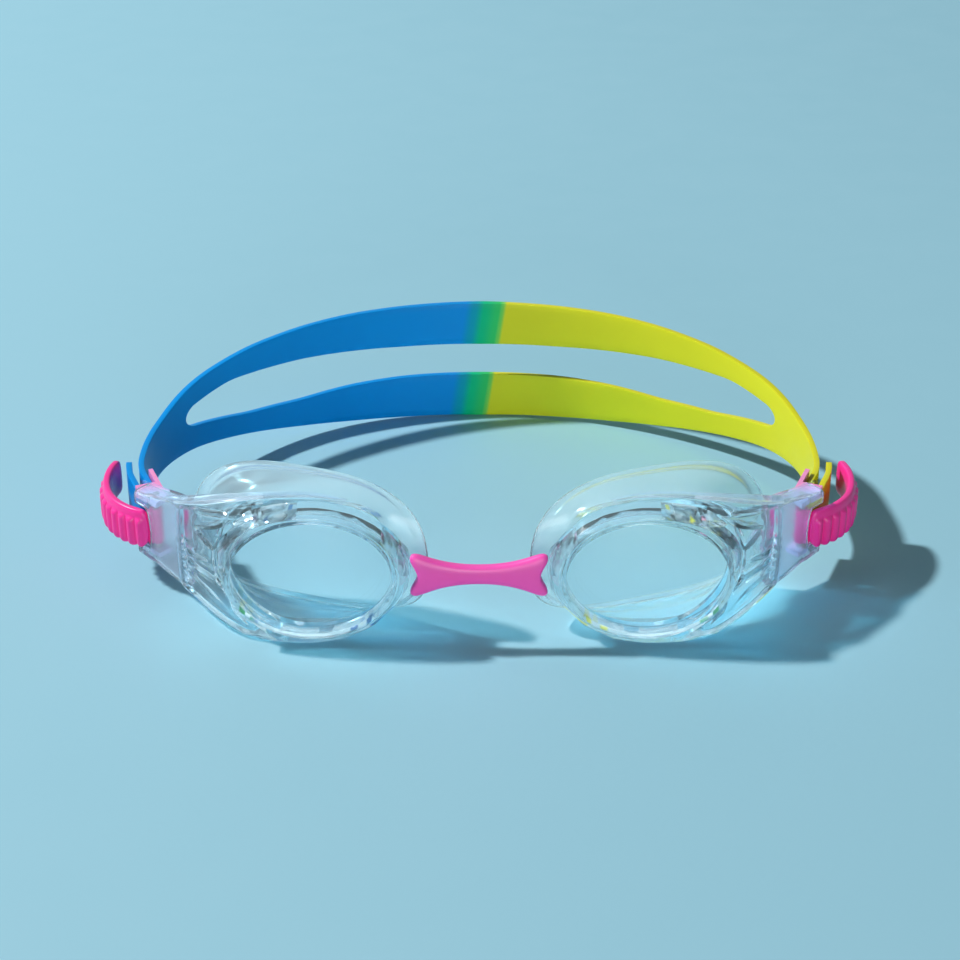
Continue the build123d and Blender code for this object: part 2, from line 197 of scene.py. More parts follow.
mouldSkin = buildMouldSkin()
pigmentCloud = buildCloud()


def linear(red, green, blue):
    # screen colour 0..255 to the linear values a shader takes
    values = np.array([red, green, blue]) / 255.0
    bent = np.where(values <= 0.04045, values / 12.92, ((values + 0.055) / 1.055) ** 2.4)
    return (float(bent[0]), float(bent[1]), float(bent[2]), 1.0)


def addGroup(nodes, group, **values):
    node = nodes.new("ShaderNodeGroup")
    node.node_tree = group
    for label, value in values.items():
        node.inputs[label].default_value = value
    return node


def startMaterial(name):
    material = bpy.data.materials.new(name)
    material.use_nodes = True
    nodes = material.node_tree.nodes
    return material, nodes, material.node_tree.links, nodes["Principled BSDF"], nodes["Material Output"]


def addSkin(nodes, links, shader, skin):
    # roughness and a fine bump from the shared group
    surface = addGroup(nodes, mouldSkin, Scale=skin["scale"], Smooth=skin["smooth"], Dull=skin["dull"])
    bump = nodes.new("ShaderNodeBump")
    bump.inputs["Strength"].default_value = skin["bump"]
    bump.inputs["Distance"].default_value = 0.0001
    links.new(surface.outputs["Roughness"], shader.inputs["Roughness"])
    links.new(surface.outputs["Height"], bump.inputs["Height"])
    links.new(bump.outputs["Normal"], shader.inputs["Normal"])


def clearMaterial(name, look):
    # see-through plastic or silicone; lamps shine through it with the tint of shadow
    material, nodes, links, shader, output = startMaterial(name)
    cloud = addGroup(nodes, pigmentCloud, Scale=look["cloud"], First=look["tint"], Second=look["tintDeep"])
    links.new(cloud.outputs["Color"], shader.inputs["Base Color"])
    shader.inputs["Transmission Weight"].default_value = look["clear"]
    shader.inputs["IOR"].default_value = look["ior"]
    addSkin(nodes, links, shader, look["skin"])
    path = nodes.new("ShaderNodeLightPath")
    passing = nodes.new("ShaderNodeBsdfTransparent")
    passing.inputs["Color"].default_value = look["shadow"]
    mix = nodes.new("ShaderNodeMixShader")
    links.new(path.outputs["Is Shadow Ray"], mix.inputs["Fac"])
    links.new(shader.outputs["BSDF"], mix.inputs[1])
    links.new(passing.outputs["BSDF"], mix.inputs[2])
    links.new(mix.outputs["Shader"], output.inputs["Surface"])
    return material


def solidMaterial(name, look):
    # coloured plastic or rubber that light enters only a little
    material, nodes, links, shader, _ = startMaterial(name)
    cloud = addGroup(nodes, pigmentCloud, Scale=look["cloud"], First=look["tint"], Second=look["tintDeep"])
    links.new(cloud.outputs["Color"], shader.inputs["Base Color"])
    shader.inputs["Subsurface Weight"].default_value = look["glow"]
    shader.inputs["Subsurface Radius"].default_value = (1.0, 0.6, 0.6)
    shader.inputs["Subsurface Scale"].default_value = look["glowDepth"]
    shader.inputs["Metallic"].default_value = look.get("metal", 0.0)
    addSkin(nodes, links, shader, look["skin"])
    return material


glossySkin = {"scale": 500.0, "smooth": 0.0, "dull": 0.05, "bump": 0.02}
satinSkin = {"scale": 1400.0, "smooth": 0.34, "dull": 0.46, "bump": 0.10}
frostSkin = {"scale": 900.0, "smooth": 0.14, "dull": 0.24, "bump": 0.05}

lensLook = {
    "tint": (0.93, 0.98, 1.0, 1), "tintDeep": (0.90, 0.97, 0.99, 1), "cloud": 30.0,
    "clear": 1.0, "ior": 1.45, "shadow": (0.66, 0.82, 0.86, 1),
    "skin": {"scale": 200.0, "smooth": 0.0, "dull": 0.02, "bump": 0.0},
}
frameLook = {
    "tint": (0.93, 0.97, 1.0, 1), "tintDeep": (0.88, 0.95, 0.99, 1), "cloud": 90.0,
    "clear": 0.97, "ior": 1.48, "shadow": (0.26, 0.50, 0.56, 1), "skin": glossySkin,
}
gasketLook = {
    "tint": (0.90, 0.97, 0.99, 1), "tintDeep": (0.84, 0.94, 0.97, 1), "cloud": 80.0,
    "clear": 0.84, "ior": 1.32, "shadow": (0.28, 0.54, 0.60, 1), "skin": frostSkin,
}
wingLook = {
    "tint": (0.90, 0.93, 1.0, 1), "tintDeep": (0.84, 0.88, 0.98, 1), "cloud": 110.0,
    "clear": 0.91, "ior": 1.38, "shadow": (0.30, 0.50, 0.56, 1), "skin": frostSkin,
}
insertLook = {
    "tint": linear(214, 205, 236), "tintDeep": linear(206, 198, 232), "cloud": 120.0,
    "glow": 0.15, "glowDepth": 0.001, "rearTint": linear(255, 150, 208), "change": (-0.0260, -0.0225),
    "skin": {"scale": 900.0, "smooth": 0.22, "dull": 0.34, "bump": 0.05},
}
leverLook = {
    "tint": linear(250, 48, 156), "tintDeep": linear(243, 38, 144), "cloud": 150.0,
    "glow": 0.10, "glowDepth": 0.0008,
    "skin": {"scale": 1200.0, "smooth": 0.28, "dull": 0.40, "bump": 0.08},
}
bridgeLook = {
    "tint": linear(255, 90, 188), "tintDeep": linear(254, 80, 180), "cloud": 140.0,
    "glow": 0.30, "glowDepth": 0.002, "skin": satinSkin,
}
steelLook = {
    "tint": (0.62, 0.63, 0.65, 1), "tintDeep": (0.50, 0.51, 0.53, 1), "cloud": 800.0,
    "glow": 0.0, "glowDepth": 0.001, "metal": 1.0,
    "skin": {"scale": 2500.0, "smooth": 0.22, "dull": 0.36, "bump": 0.08},
}


strapLook = {
    # place between the two ends of the change of colour, and the colour there
    "stops": [
        (0.22, linear(0, 146, 226)),
        (0.34, linear(0, 160, 188)),
        (0.46, linear(0, 194, 132)),
        (0.62, linear(50, 204, 106)),
        (0.665, linear(120, 214, 90)),
        (0.71, linear(226, 222, 42)),
    ],
    "from": -0.012, "to": 0.008, "lean": -0.15,  # metres across the back, and how far the change slants
    "cloud": 70.0, "cloudTint": (1, 1, 1, 1), "cloudDeep": (0.93, 0.94, 0.95, 1),
    "glow": 0.10, "glowColours": (0.6, 0.8, 1.0), "glowDepth": 0.0008, "shine": 0.14, "skin": satinSkin,
}


def strapMaterial(name, look):
    # silicone whose colour runs along x from blue through green to yellow at the back of the head
    material, nodes, links, shader, _ = startMaterial(name)
    coords = nodes.new("ShaderNodeTexCoord")
    axes = nodes.new("ShaderNodeSeparateXYZ")
    lean = nodes.new("ShaderNodeMath")
    lean.operation = "MULTIPLY_ADD"
    lean.inputs[1].default_value = look["lean"]  # the colours change a little earlier in the lower band
    stretch = nodes.new("ShaderNodeMapRange")
    stretch.inputs["From Min"].default_value = look["from"]
    stretch.inputs["From Max"].default_value = look["to"]
    ramp = nodes.new("ShaderNodeValToRGB")
    ramp.color_ramp.interpolation = "EASE"
    stops = look["stops"]
    ramp.color_ramp.elements[0].position = stops[0][0]
    ramp.color_ramp.elements[0].color = stops[0][1]
    ramp.color_ramp.elements[1].position = stops[-1][0]
    ramp.color_ramp.elements[1].color = stops[-1][1]
    for place, colour in stops[1:-1]:
        ramp.color_ramp.elements.new(place).color = colour
    cloud = addGroup(nodes, pigmentCloud, Scale=look["cloud"],
                     First=look["cloudTint"], Second=look["cloudDeep"])
    tone = nodes.new("ShaderNodeMix")
    tone.data_type = "RGBA"
    tone.blend_type = "MULTIPLY"
    tone.inputs["Factor"].default_value = 1.0
    links.new(coords.outputs["Object"], axes.inputs["Vector"])
    links.new(axes.outputs["Z"], lean.inputs[0])
    links.new(axes.outputs["X"], lean.inputs[2])
    links.new(lean.outputs["Value"], stretch.inputs["Value"])
    links.new(stretch.outputs["Result"], ramp.inputs["Fac"])
    links.new(ramp.outputs["Color"], tone.inputs["A"])
    links.new(cloud.outputs["Color"], tone.inputs["B"])
    links.new(tone.outputs["Result"], shader.inputs["Base Color"])
    shader.inputs["Subsurface Weight"].default_value = look["glow"]
    shader.inputs["Subsurface Radius"].default_value = look["glowColours"]
    shader.inputs["Specular IOR Level"].default_value = look["shine"]
    shader.inputs["Subsurface Scale"].default_value = look["glowDepth"]
    addSkin(nodes, links, shader, look["skin"])
    return material


def insertMaterial(name, look):
    # pale moulded plastic that turns pink towards the free end of the tongue
    material = solidMaterial(name, look)
    nodes, links = material.node_tree.nodes, material.node_tree.links
    shader = nodes["Principled BSDF"]
    pale = shader.inputs["Base Color"].links[0].from_socket
    coords = nodes.new("ShaderNodeTexCoord")
    axes = nodes.new("ShaderNodeSeparateXYZ")
    blendIn = nodes.new("ShaderNodeMapRange")
    blendIn.interpolation_type = "SMOOTHSTEP"
    blendIn.inputs["From Min"].default_value = look["change"][0]
    blendIn.inputs["From Max"].default_value = look["change"][1]
    pick = nodes.new("ShaderNodeMix")
    pick.data_type = "RGBA"
    pick.inputs["B"].default_value = look["rearTint"]
    links.new(coords.outputs["Object"], axes.inputs["Vector"])
    links.new(axes.outputs["Y"], blendIn.inputs["Value"])
    links.new(blendIn.outputs["Result"], pick.inputs["Factor"])
    links.new(pale, pick.inputs["A"])
    links.new(pick.outputs["Result"], shader.inputs["Base Color"])
    return material


lensClear = clearMaterial("lensClear", lensLook)
frameClear = clearMaterial("frameClear", frameLook)
gasketSilicone = clearMaterial("gasketSilicone", gasketLook)
wingRubber = clearMaterial("wingRubber", wingLook)
insertPlastic = insertMaterial("insertPlastic", insertLook)
leverPlastic = solidMaterial("leverPlastic", leverLook)
bridgeRubber = solidMaterial("bridgeRubber", bridgeLook)
pinSteel = solidMaterial("pinSteel", steelLook)
strapSilicone = strapMaterial("strapSilicone", strapLook)
print("materials ready")


strapShape = {
    "halfWidth": 71.2, "frontY": 42.0, "halfDepth": 57.4,  # the loop is half an ellipse behind frontY
    "turnRadius": 18.0, "turnAngle": 22.0, "lead": 7.3,  # then it turns in towards the buckle
    "barRadius": 1.35, "tailAngle": 4.0,
    "thickness": 1.2, "edgeRound": 0.28,
    "topAt": [0, 18.4, 30.3, 42.5, 55.7, 70.8, 84.7, 101],
    "top": [29.4, 29.1, 28.8, 28.1, 26.8, 24.2, 21.0, 20.2],
    "bottomAt": [0, 18.9, 31.1, 43.7, 57.1, 72.4, 88.0, 101],
    "bottom": [0.1, 0.6, 1.4, 3.0, 5.4, 8.0, 9.7, 9.8],
    "slotTopAt": [0, 18.1, 30.6, 42.8, 61.6, 71.5, 80],
    "slotTop": [18.9, 19.1, 19.7, 20.3, 20.6, 18.9, 18.0],
    "slotBottomAt": [0, 18.1, 30.6, 43.4, 56.8, 72.8, 80],
    "slotBottom": [11.0, 11.0, 10.6, 9.7, 10.4, 13.6, 15.0],
    "slotTip": 75.6, "slotTipLength": 3.4,
    "sway": 0.3,  # how far the loop leans to the right, as it happens to lie
    "bulge": 1.35, "bulgeAt": 74.0, "bulgeLength": 19.0,  # and how far it bows out beside the temples
    "columns": 900, "rowsPerBand": 7,
}


def strapPlan(shape):
    # runs and arcs of the right half seen from above, from the middle of the back round the bar to the tail
    t = np.linspace(0.0, math.pi / 2, 240)
    backY = shape["frontY"] + shape["halfDepth"] * np.cos(t)
    back = np.stack([shape["halfWidth"] * np.sin(t), backY], axis=1)
    turn = math.radians(shape["turnAngle"])
    centre = np.array([shape["halfWidth"] - shape["turnRadius"], shape["frontY"]])
    t = np.linspace(0.0, turn, 30)[1:]
    curl = centre + shape["turnRadius"] * np.stack([np.cos(t), -np.sin(t)], axis=1)
    along = np.array([math.sin(turn), math.cos(turn)])
    out = np.array([math.cos(turn), -math.sin(turn)])
    barMiddle = curl[-1] - along * shape["lead"] + out * shape["barRadius"]
    t = np.linspace(0.0, math.pi, 40)
    wrap = barMiddle - shape["barRadius"] * (np.cos(t)[:, None] * out + np.sin(t)[:, None] * along)
    tailRadius = shape["turnRadius"] + 2.0 * shape["barRadius"]
    t = np.linspace(turn, math.radians(shape["tailAngle"]), 16)
    tail = centre + tailRadius * np.stack([np.cos(t), -np.sin(t)], axis=1)
    line = np.concatenate([back, curl, wrap, tail])
    step = np.hypot(*np.diff(line, axis=0).T)
    return line, np.concatenate([[0.0], np.cumsum(step)])


def makeStrap(shape):
    # point(s, h): s runs along the loop, h climbs from the lower edge to the upper; the two rear
    # bands are the rows below and above the slot, which meet where the slot has closed
    line, run = strapPlan(shape)
    half = shape["columns"] // 2
    tip, tipLength = shape["slotTip"], shape["slotTipLength"]
    dense = tip - tipLength * (1.0 - np.cos(np.linspace(0.0, math.pi / 2, 24)))
    s = np.unique(np.concatenate([np.linspace(0.0, run[-1], half), dense]))
    x = np.interp(s, run, line[:, 0])
    y = np.interp(s, run, line[:, 1])
    top = smoothThrough(s, shape["topAt"], shape["top"], 2.5)
    bottom = smoothThrough(s, shape["bottomAt"], shape["bottom"], 2.5)
    slotTop = smoothThrough(s, shape["slotTopAt"], shape["slotTop"], 1.6)
    slotBottom = smoothThrough(s, shape["slotBottomAt"], shape["slotBottom"], 2.2)
    middle = (slotTop + slotBottom) / 2
    closing = np.clip((s - tip + tipLength) / tipLength, 0.0, 1.0)
    gap = (slotTop - slotBottom) / 2 * np.sqrt(1.0 - closing ** 2)
    gap[s >= tip] = 0.0
    h = np.linspace(0.0, 1.0, shape["rowsPerBand"])
    lower = bottom[:, None] + (middle - gap - bottom)[:, None] * h
    upper = (middle + gap)[:, None] + (top - middle - gap)[:, None] * h
    z = np.concatenate([lower, upper], axis=1)
    bow = np.exp(-((s - shape["bulgeAt"]) / shape["bulgeLength"]) ** 2)
    x = x + shape["bulge"] * bow * smoothStep((y - 30.0) / 8.0)  # none of it inside the buckle
    right = np.stack([np.repeat(x[:, None], z.shape[1], 1), np.repeat(y[:, None], z.shape[1], 1), z], axis=2)
    whole = np.concatenate([mirrored(right)[:0:-1], right])
    whole[..., 0] += shape["sway"] * smoothStep((whole[..., 1] - shape["frontY"]) / 26.0)
    rows = shape["rowsPerBand"]
    piece = surfacePiece("strap_band", [whole[:, :rows], whole[:, rows:]], strapSilicone, mergeBelow=2e-6)
    wall = piece.modifiers.new("wall", "SOLIDIFY")
    wall.thickness = shape["thickness"] * 0.001
    wall.offset = 0.0
    soft = piece.modifiers.new("softEdge", "BEVEL")
    soft.width = shape["edgeRound"] * 0.001
    soft.segments = 2
    soft.limit_method = "ANGLE"
    soft.angle_limit = math.radians(40.0)
    standsFor(piece, ["strap"], "goggles")
    return piece


makeStrap(strapShape)
print("strap made")


bridgeShape = {
    "halfLength": 14.3, "notch": 2.1, "endHalfHeight": 6.1, "waistHalfHeight": 2.05,
    "halfThickness": 1.55, "waistHalfThickness": 1.25, "frontY": 0.7, "middleHeight": 16.3, "waistLift": 0.2,
    "rows": 90, "columns": 64,
}


def makeBridge(shape):
    # point(u, a): u runs from end to end and a goes round an oval section whose height swells towards the
    # ends; near the ends the middle of the section is pulled back to make the notch between the prongs
    u = np.sin(np.linspace(-math.pi / 2, math.pi / 2, shape["rows"]))[:, None]
    a = np.linspace(0.0, 2 * math.pi, shape["columns"], endpoint=False)[None, :]
    swell = np.abs(u) ** 2.2
    halfHeight = shape["waistHalfHeight"] + (shape["endHalfHeight"] - shape["waistHalfHeight"]) * swell
    thicker = shape["halfThickness"] - shape["waistHalfThickness"]
    halfThickness = shape["waistHalfThickness"] + thicker * swell
    rounding = (1.0 - np.abs(u) ** 14) ** (1.0 / 2.4)
    upward = np.sign(np.sin(a)) * np.abs(np.sin(a)) ** 0.8
    outward = np.sign(np.cos(a)) * np.abs(np.cos(a)) ** 0.7
    z = halfHeight * rounding * upward
    y = halfThickness * rounding * outward
    share = np.clip(np.abs(z) / shape["endHalfHeight"], 0.0, 1.0)
    pull = shape["notch"] * (1.0 - smoothStep(share / 0.82)) * np.abs(u) ** 6
    x = u * shape["halfLength"] - np.sign(u) * pull
    lift = shape["waistLift"] * (1.0 - swell)
    y = shape["frontY"] + shape["halfThickness"] + y
    z = shape["middleHeight"] + lift + z
    points = np.stack(np.broadcast_arrays(x, y, z), axis=2)
    piece = surfacePiece("bridge", [points], bridgeRubber, closeColumns=True)
    standsFor(piece, ["nose_bridge"], "goggles")
    return piece


makeBridge(bridgeShape)
print("bridge made")


leverShape = {
    "pin": (65.90, 24.345), "centre": (63.90, 36.05), "radius": 14.0,
    "from": -74.0, "to": 20.0, "flare": 25.0, "flareRadius": 5.0,
    "thickness": 1.9, "base": 10.6, "height": 8.4, "tipRise": 1.6,
    "ribs": 9, "ribFrom": 0.02, "ribTo": 0.80, "ribDepth": 0.85, "topMargin": 1.7,
    "rows": 260, "columns": 72,
}


def makeLever(side, shape):
    # point(s, a): s runs along the bow of the lever seen from above and a goes round a rounded section;
    # the outside of the section is pushed out by a row of rounded ribs that stop short of the top
    start, stop = math.radians(shape["from"]), math.radians(shape["to"])
    arc = np.linspace(start, stop, 400)
    bow = np.array(shape["centre"]) + shape["radius"] * np.stack([np.cos(arc), np.sin(arc)], axis=1)
    turn = np.linspace(0.0, math.radians(shape["flare"]), 40)[1:]
    flareReach = shape["radius"] + shape["flareRadius"]
    pivot = np.array(shape["centre"]) + flareReach * np.array([math.cos(stop), math.sin(stop)])
    flare = pivot - shape["flareRadius"] * np.stack([np.cos(stop - turn), np.sin(stop - turn)], axis=1)
    line = np.concatenate([bow, flare])
    run = np.concatenate([[0.0], np.cumsum(np.hypot(*np.diff(line, axis=0).T))])
    u = np.sin(np.linspace(-math.pi / 2, math.pi / 2, shape["rows"])) * 0.5 + 0.5
    u = 0.25 * u + 0.75 * np.linspace(0.0, 1.0, shape["rows"])
    s = u * run[-1]
    x, y = np.interp(s, run, line[:, 0]), np.interp(s, run, line[:, 1])
    dx, dy = np.gradient(x), np.gradient(y)
    size = np.hypot(dx, dy)
    outX, outY = (dy / size)[:, None], (-dx / size)[:, None]
    a = np.linspace(0.0, 2 * math.pi, shape["columns"], endpoint=False)[None, :]
    ends = (1.0 - np.abs(2.0 * u - 1.0) ** 26)[:, None] ** 0.5
    outward = np.sign(np.cos(a)) * np.abs(np.cos(a)) ** 0.55
    upward = np.sign(np.sin(a)) * np.abs(np.sin(a)) ** 0.45
    ribStart, ribStop = shape["ribFrom"], shape["ribTo"]
    phase = (u - ribStart) / (ribStop - ribStart) * shape["ribs"]
    inside = (smoothStep(phase * 2.0) * smoothStep((shape["ribs"] - phase) * 2.0))[:, None]
    wave = (np.abs(np.sin(math.pi * phase)) ** 0.7)[:, None]
    rise = shape["tipRise"] * smoothStep((u[:, None] - 0.45) / 0.5)
    lowEdge = shape["base"] + rise - 0.35 * wave * inside
    highEdge = shape["base"] + shape["height"] + rise * 0.6
    middle, halfHeight = (lowEdge + highEdge) / 2, (highEdge - lowEdge) / 2
    z = middle + halfHeight * ends * upward
    belowTop = smoothStep((highEdge - shape["topMargin"] - z) / 0.7)
    push = shape["ribDepth"] * (wave - 0.15) * inside * belowTop * np.clip(outward, 0.0, 1.0)
    offset = shape["thickness"] / 2 * ends * outward + push
    points = np.stack(np.broadcast_arrays(x[:, None] + outX * offset, y[:, None] + outY * offset, z), axis=2)
    # the eye of the lever: a short sleeve round its pin
    v = np.array([0.0, 0.02, 0.1, 0.9, 0.98, 1.0])[:, None]
    r = 1.3 * np.array([0.0, 0.86, 1.0, 1.0, 0.86, 0.0])[:, None]
    b = np.linspace(0.0, 2 * math.pi, 40, endpoint=False)[None, :]
    sleeve = np.stack(np.broadcast_arrays(
        shape["pin"][0] + r * np.cos(b), shape["pin"][1] + r * np.sin(b),
        shape["base"] + 0.1 + v * (shape["height"] - 0.2)), axis=2)
    # a web joins the sleeve to the bow
    w = np.linspace(0.0, 1.0, 12)[:, None]
    c = np.linspace(0.0, 2 * math.pi, 24, endpoint=False)[None, :]
    closeEnds = (1.0 - np.abs(2.0 * w - 1.0) ** 12) ** 0.5
    webStart, webStop = np.array(shape["pin"]), line[6]
    webLine = webStart + w * (webStop - webStart)
    direction = (webStop - webStart) / np.hypot(*(webStop - webStart))
    web = np.stack(np.broadcast_arrays(
        webLine[:, :1] + direction[1] * 0.85 * closeEnds * np.cos(c),
        webLine[:, 1:] - direction[0] * 0.85 * closeEnds * np.cos(c),
        shape["base"] + shape["height"] / 2 + (shape["height"] / 2 - 0.1) * closeEnds
        * np.sign(np.sin(c)) * np.abs(np.sin(c)) ** 0.4), axis=2)
    grids = [points, sleeve, web]
    if side == "left":
        grids = [mirrored(grid) for grid in grids]
    piece = surfacePiece(side + "_lever", grids, leverPlastic, closeColumns=True)
    standsFor(piece, [side + "_buckle_lever"], side + "_lever")
    return piece


for side in ("left", "right"):
    makeLever(side, leverShape)
print("levers made")


frameShape = {
    "centreX": 33.3, "boreHalfWidth": 17.1, "boreHalfHeight": 13.7,
    "frontY": 0.8, "flatTo": 35.0, "wrapRadius": 28.0,  # flat in front, then curved back to 45 degrees
    "depth": 6.6, "ringWidth": 1.5, "webThickness": 1.7, "edgeThickness": 3.4,
    "slopeUp": 6.2, "slopeNose": 2.6, "slopeDown": 1.6,
    "groove": 1.1, "bowl": 1.3, "ripple": 0.34, "ripples": 21.0,
    # corners of the window under the brow and the small dimple beside the ring, x and z
    "window": [(44.9, 27.2), (56.4, 20.3), (52.9, 17.9)], "windowDepth": 4.2,
    "dimple": (51.9, 15.4), "dimpleSize": 0.75, "dimpleDepth": 0.8,
    # outer edge, x and z, from the nose over the brow to the temple and back underneath
    "outline": [
        (13.5, 16.0), (14.0, 19.0), (17.0, 22.7), (20.5, 25.9), (24.6, 28.5), (31.6, 30.3), (39.5, 30.2),
        (47.7, 28.3), (52.5, 26.8), (56.6, 25.2), (61.0, 24.4), (61.1, 20.0), (61.1, 15.0), (61.1, 10.0),
        (61.0, 5.5), (59.0, 4.7), (54.2, 3.0), (47.8, 0.9), (41.0, 0.2), (33.3, 0.1), (27.0, 0.9),
        (21.0, 3.7), (17.0, 7.8), (14.3, 12.0),
    ],
    "rows": 460, "columns": 150,
}


def wrapDepth(x, shape):
    # how far the front has curved back at x: flat, then a circle, then a straight line at 45 degrees
    past = np.clip(np.abs(x) - shape["flatTo"], 0.0, None)
    reach = shape["wrapRadius"] * math.sqrt(0.5)
    circle = shape["wrapRadius"] - np.sqrt(shape["wrapRadius"] ** 2 - np.minimum(past, reach) ** 2)
    return shape["frontY"] + circle + np.clip(past - reach, 0.0, None)


def triangleInside(x, z, corners):
    # distance in from the nearest side of a triangle whose corners run clockwise, below 0 outside
    sides = []
    for k in range(3):
        (x0, z0), (x1, z1) = corners[k], corners[(k + 1) % 3]
        size = math.hypot(x1 - x0, z1 - z0)
        sides.append(-((x1 - x0) * (z - z0) - (z1 - z0) * (x - x0)) / size)
    sharp = np.stack(sides)
    return -0.35 * np.log(np.sum(np.exp(-sharp / 0.35), axis=0))


def makeFrame(side, shape):
    # point(a, t): a is the direction round the middle of the lens and t goes round a closed section: out
    # over the front from the bore to the outer edge, round the edge, and back over the rear; depth
    # follows the wrap of the face, plus the relief of ring, groove, bowl, ripples, window and dimple.
    # The rim of the bore follows the wrap too, so the flat lens ring stands proud of it at the temple
    a = np.linspace(0.0, 2 * math.pi, shape["rows"], endpoint=False)
    edge = np.array(shape["outline"])
    turned = np.degrees(np.arctan2(edge[:, 1] - eyeLine, edge[:, 0] - shape["centreX"])) % 360.0
    order = np.argsort(turned)
    places = np.concatenate([turned[order] - 360.0, turned[order], turned[order] + 360.0])
    outX = smoothThrough(np.degrees(a), places, np.tile(edge[order, 0], 3), 1.0)
    outZ = smoothThrough(np.degrees(a), places, np.tile(edge[order, 1], 3), 1.0)
    reach = 1.0 / np.hypot(np.cos(a) / shape["boreHalfWidth"], np.sin(a) / shape["boreHalfHeight"])
    inX = shape["centreX"] + reach * np.cos(a)
    inZ = eyeLine + reach * np.sin(a)
    width = np.hypot(outX - inX, outZ - inZ)[:, None]
    half = shape["columns"] // 2
    share = 0.5 - 0.5 * np.cos(np.linspace(0.0, math.pi, half))[None, :]
    x = inX[:, None] + (outX - inX)[:, None] * share
    z = inZ[:, None] + (outZ - inZ)[:, None] * share
    across = share * width
    up = np.clip(np.sin(a), 0.0, 1.0)[:, None] ** 0.7
    down = np.clip(-np.sin(a), 0.0, 1.0)[:, None] ** 0.7
    nose = np.clip(-np.cos(a), 0.0, 1.0)[:, None] ** 2
    wide = smoothStep((width - 2.6) / 3.0) * smoothStep((x - 38.0) / 6.0)
    narrow = 1.0 - smoothStep((width - 2.2) / 3.5)
    slope = shape["slopeUp"] * up + shape["slopeDown"] * down + shape["slopeNose"] * nose * (1.0 - up)
    slope = slope * share
    lip = 0.45 * (1.0 - smoothStep(across / 0.5))
    inBowl = smoothStep((across - shape["ringWidth"]) / 0.9) * smoothStep((width - across - 0.5) / 1.6) * wide
    groove = shape["groove"] * np.exp(-((across - shape["ringWidth"] - 0.8) / 0.55) ** 2) * wide
    fan = np.cos(shape["ripples"] * np.arctan2(z - 13.0, 66.0 - x) + 0.5 * np.sin(x * 0.9))
    low = smoothStep((17.0 - z) / 5.0) + 0.35 * smoothStep((x - 54.0) / 3.0)
    window = smoothStep((triangleInside(x, z, shape["window"]) + 0.45) / 0.9)
    fromDimple = np.hypot(x - shape["dimple"][0], z - shape["dimple"][1]) / shape["dimpleSize"]
    dimple = np.exp(-fromDimple ** 3)
    relief = lip + groove + shape["bowl"] * inBowl + shape["ripple"] * fan * inBowl * np.clip(low, 0.0, 1.0)
    relief = relief + shape["windowDepth"] * window + shape["dimpleDepth"] * dimple
    front = slope * (narrow + (1.0 - narrow) * np.clip(share * 1.5 - 0.5, 0.0, 1.0) * 0.55) + relief
    ringBack = shape["depth"]
    webBack = np.minimum(shape["depth"], front + shape["webThickness"] - 1.1 * window)
    endBack = front + shape["edgeThickness"]
    toWeb = smoothStep((across - shape["ringWidth"] - 0.2) / 1.0) * wide
    toEnd = smoothStep((x - 57.0) / 3.0)
    rimBack = np.maximum(front + 0.7, 5.4 * down + 7.0 * (1.0 - down))
    tubeBack = shape["depth"] + (rimBack - shape["depth"]) * share
    back = ringBack + (tubeBack - ringBack) * (1.0 - toWeb)
    back = back + (webBack - back) * toWeb
    back = back + (endBack - back) * toEnd
    base = wrapDepth(x, shape)
    frontSide = np.stack([x, base + front, z], axis=2)
    rearSide = np.stack([x, base + back, z], axis=2)
    points = np.concatenate([frontSide, rearSide[:, ::-1]], axis=1)
    if side == "left":
        points = mirrored(points)
    piece = surfacePiece(side + "_frame_shell", [points], frameClear, closeRows=True, closeColumns=True,
                         sharpAngle=60.0)
    standsFor(piece, [side + "_frame"], "goggles")
    return piece


for side in ("left", "right"):
    makeFrame(side, frameShape)
print("frames made")


gasketShape = {
    "centreX": 34.3, "rimHalfWidth": 24.2, "rimHalfHeight": 15.9, "rimPower": 2.8,
    "rootCentreX": 33.6, "rootHalfWidth": 17.6, "rootHalfHeight": 14.3,
    "rake": 0.337, "rimDepth": 14.2, "rimBulge": 4.0, "rootBehind": 7.1,
    "wall": 1.2, "lip": 0.8, "bead": 0.8, "ridge": 0.05,
    "rows": 160, "columns": 40,
}


